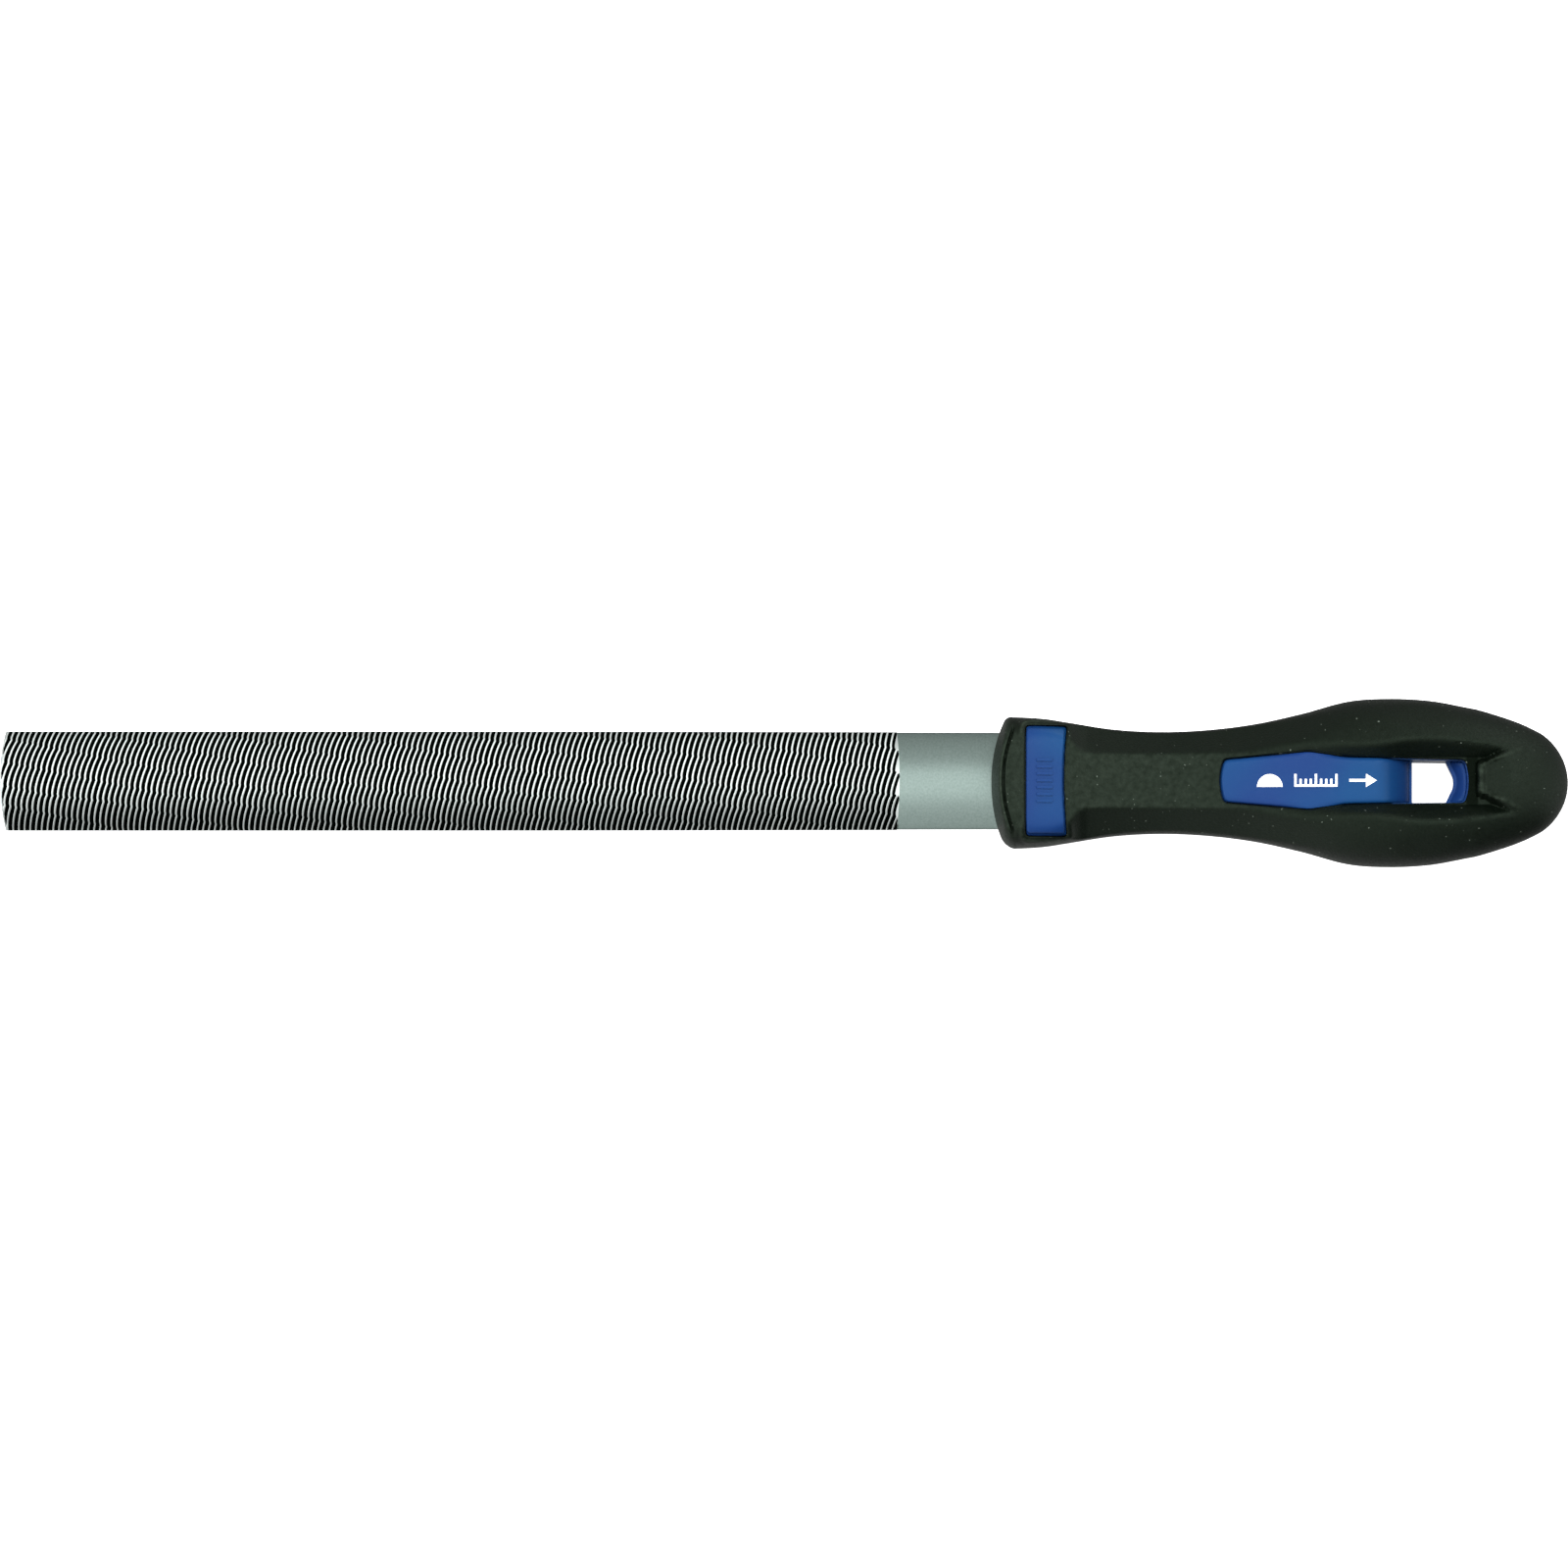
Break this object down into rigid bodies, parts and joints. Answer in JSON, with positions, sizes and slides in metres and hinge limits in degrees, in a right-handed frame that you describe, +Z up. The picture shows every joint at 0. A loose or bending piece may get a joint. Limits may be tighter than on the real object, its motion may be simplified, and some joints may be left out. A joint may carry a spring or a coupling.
{
  "type": "half-round file",
  "caption": "Half-round hand file: a parallel toothed steel blade with a bowed tip and a plain heel, in a waisted handle with a soft grip over a hard core and a hanging hole in its butt.",
  "frame": {"origin": "midway along the whole tool and midway across it, on the flat surface that the tool lies on", "axes": "+X from the blade's tip to the handle's butt; +Z up, out of the blade's rounded side; +Y across the blade"},
  "size_m": [0.32, 0.0342, 0.0267],
  "materials": {
    "tool_steel": "ground satin, with cut teeth",
    "blue_plastic": "semi-matte moulded polypropylene",
    "black_rubber": "matte, finely grained thermoplastic elastomer"
  },
  "bodies": {
    "root": {"blade": "tool_steel", "handle_core": "blue_plastic", "grip": "black_rubber"}
  },
  "joints": []
}
